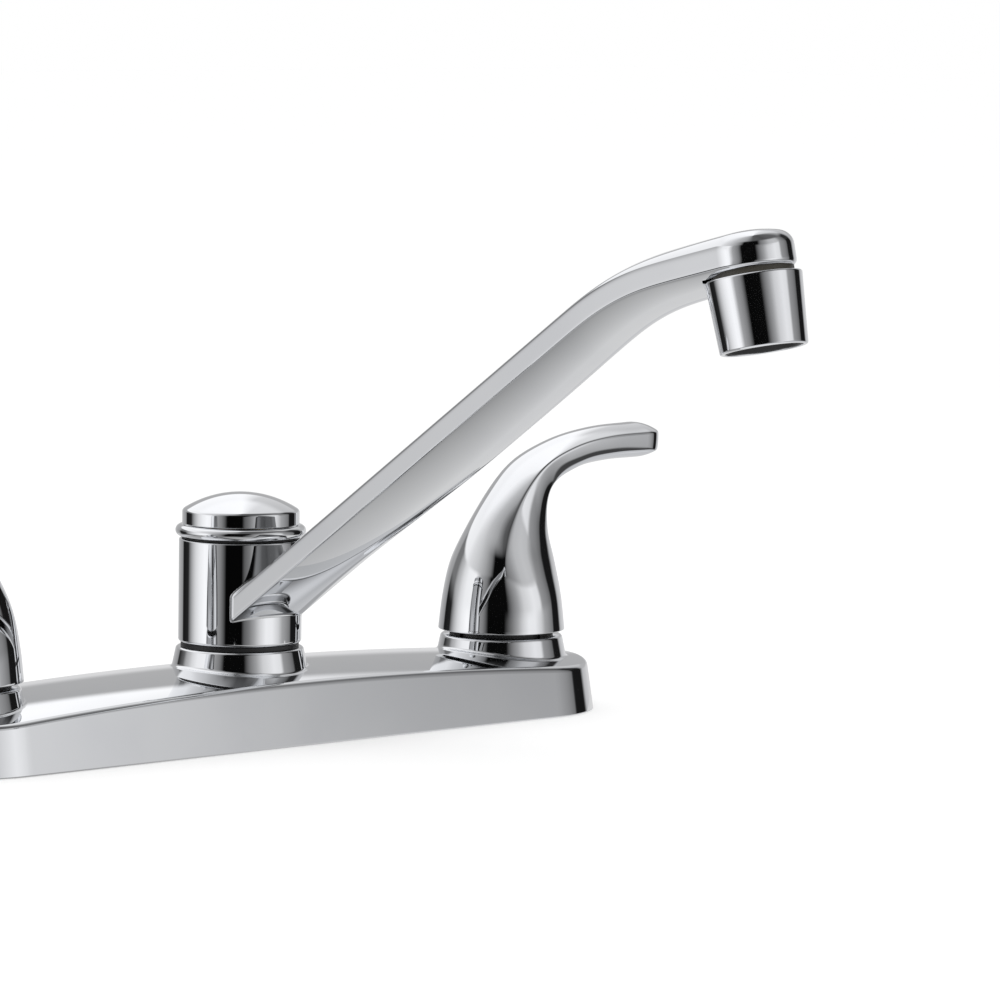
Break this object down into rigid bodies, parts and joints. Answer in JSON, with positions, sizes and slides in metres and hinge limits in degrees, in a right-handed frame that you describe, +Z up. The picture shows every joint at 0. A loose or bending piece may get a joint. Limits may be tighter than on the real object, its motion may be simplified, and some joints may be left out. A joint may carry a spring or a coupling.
{
  "type": "kitchen faucet",
  "caption": "Two-handle kitchen faucet: crowned deck cover, swivelling low-arc spout with aerator, and quarter-turn lever handles over concealed valves with threaded supply shanks.",
  "frame": {"origin": "on the deck plane, under the axis the spout swivels on, midway between the two handles", "axes": "+Z up along the spout's swivel axis, -Y forward along the spout, +X to the right towards the cold handle"},
  "size_m": [0.3246, 0.247, 0.2036],
  "materials": {
    "chrome_plate": "bright mirror plating",
    "raw_brass": "machined, unplated",
    "copper_tube": "drawn copper tube, dull",
    "black_rubber": "moulded, matte",
    "dark_plastic": "moulded, satin",
    "white_plastic": "moulded, satin",
    "plain_steel": "stainless, plain"
  },
  "bodies": {
    "fixed_body": {"deck_cover": "chrome_plate", "deck_gasket": "black_rubber", "spout_post": "raw_brass", "post_o_ring_lower": "black_rubber", "post_o_ring_upper": "black_rubber", "lower_glide_ring": "dark_plastic", "upper_glide_ring": "dark_plastic", "spout_nut": "chrome_plate", "spout_cap": "chrome_plate", "hot_valve_body": "raw_brass", "cold_valve_body": "raw_brass", "hot_valve_seat": "black_rubber", "cold_valve_seat": "black_rubber", "hot_seat_spring": "plain_steel", "cold_seat_spring": "plain_steel", "hot_bonnet_nut": "raw_brass", "cold_bonnet_nut": "raw_brass", "hot_cover_locknut": "raw_brass", "cold_cover_locknut": "raw_brass", "hot_bridge_tube": "copper_tube", "cold_bridge_tube": "copper_tube", "hot_mounting_washer": "plain_steel", "cold_mounting_washer": "plain_steel", "hot_mounting_nut": "dark_plastic", "cold_mounting_nut": "dark_plastic"},
    "spout": {"spout_casting": "chrome_plate", "aerator_housing": "chrome_plate", "aerator_insert": "white_plastic", "aerator_screen": "plain_steel", "aerator_washer": "black_rubber"},
    "hot_control": {"hot_handle": "chrome_plate", "hot_stem": "raw_brass", "hot_stem_o_ring": "black_rubber", "hot_handle_screw": "plain_steel"},
    "cold_control": {"cold_handle": "chrome_plate", "cold_stem": "raw_brass", "cold_stem_o_ring": "black_rubber", "cold_handle_screw": "plain_steel"}
  },
  "joints": [
    {"name": "spout_swivel", "type": "hinge", "parent": "fixed_body", "child": "spout", "pos_m": [0, 0, 0.04], "axis": [0, 0, 1], "range_deg": [-90, 90]},
    {"name": "hot_handle_turn", "type": "hinge", "parent": "fixed_body", "child": "hot_control", "pos_m": [-0.1016, 0, 0.04], "axis": [0, 0, 1], "range_deg": [0, 90]},
    {"name": "cold_handle_turn", "type": "hinge", "parent": "fixed_body", "child": "cold_control", "pos_m": [0.1016, 0, 0.04], "axis": [0, 0, 1], "range_deg": [-90, 0]}
  ]
}
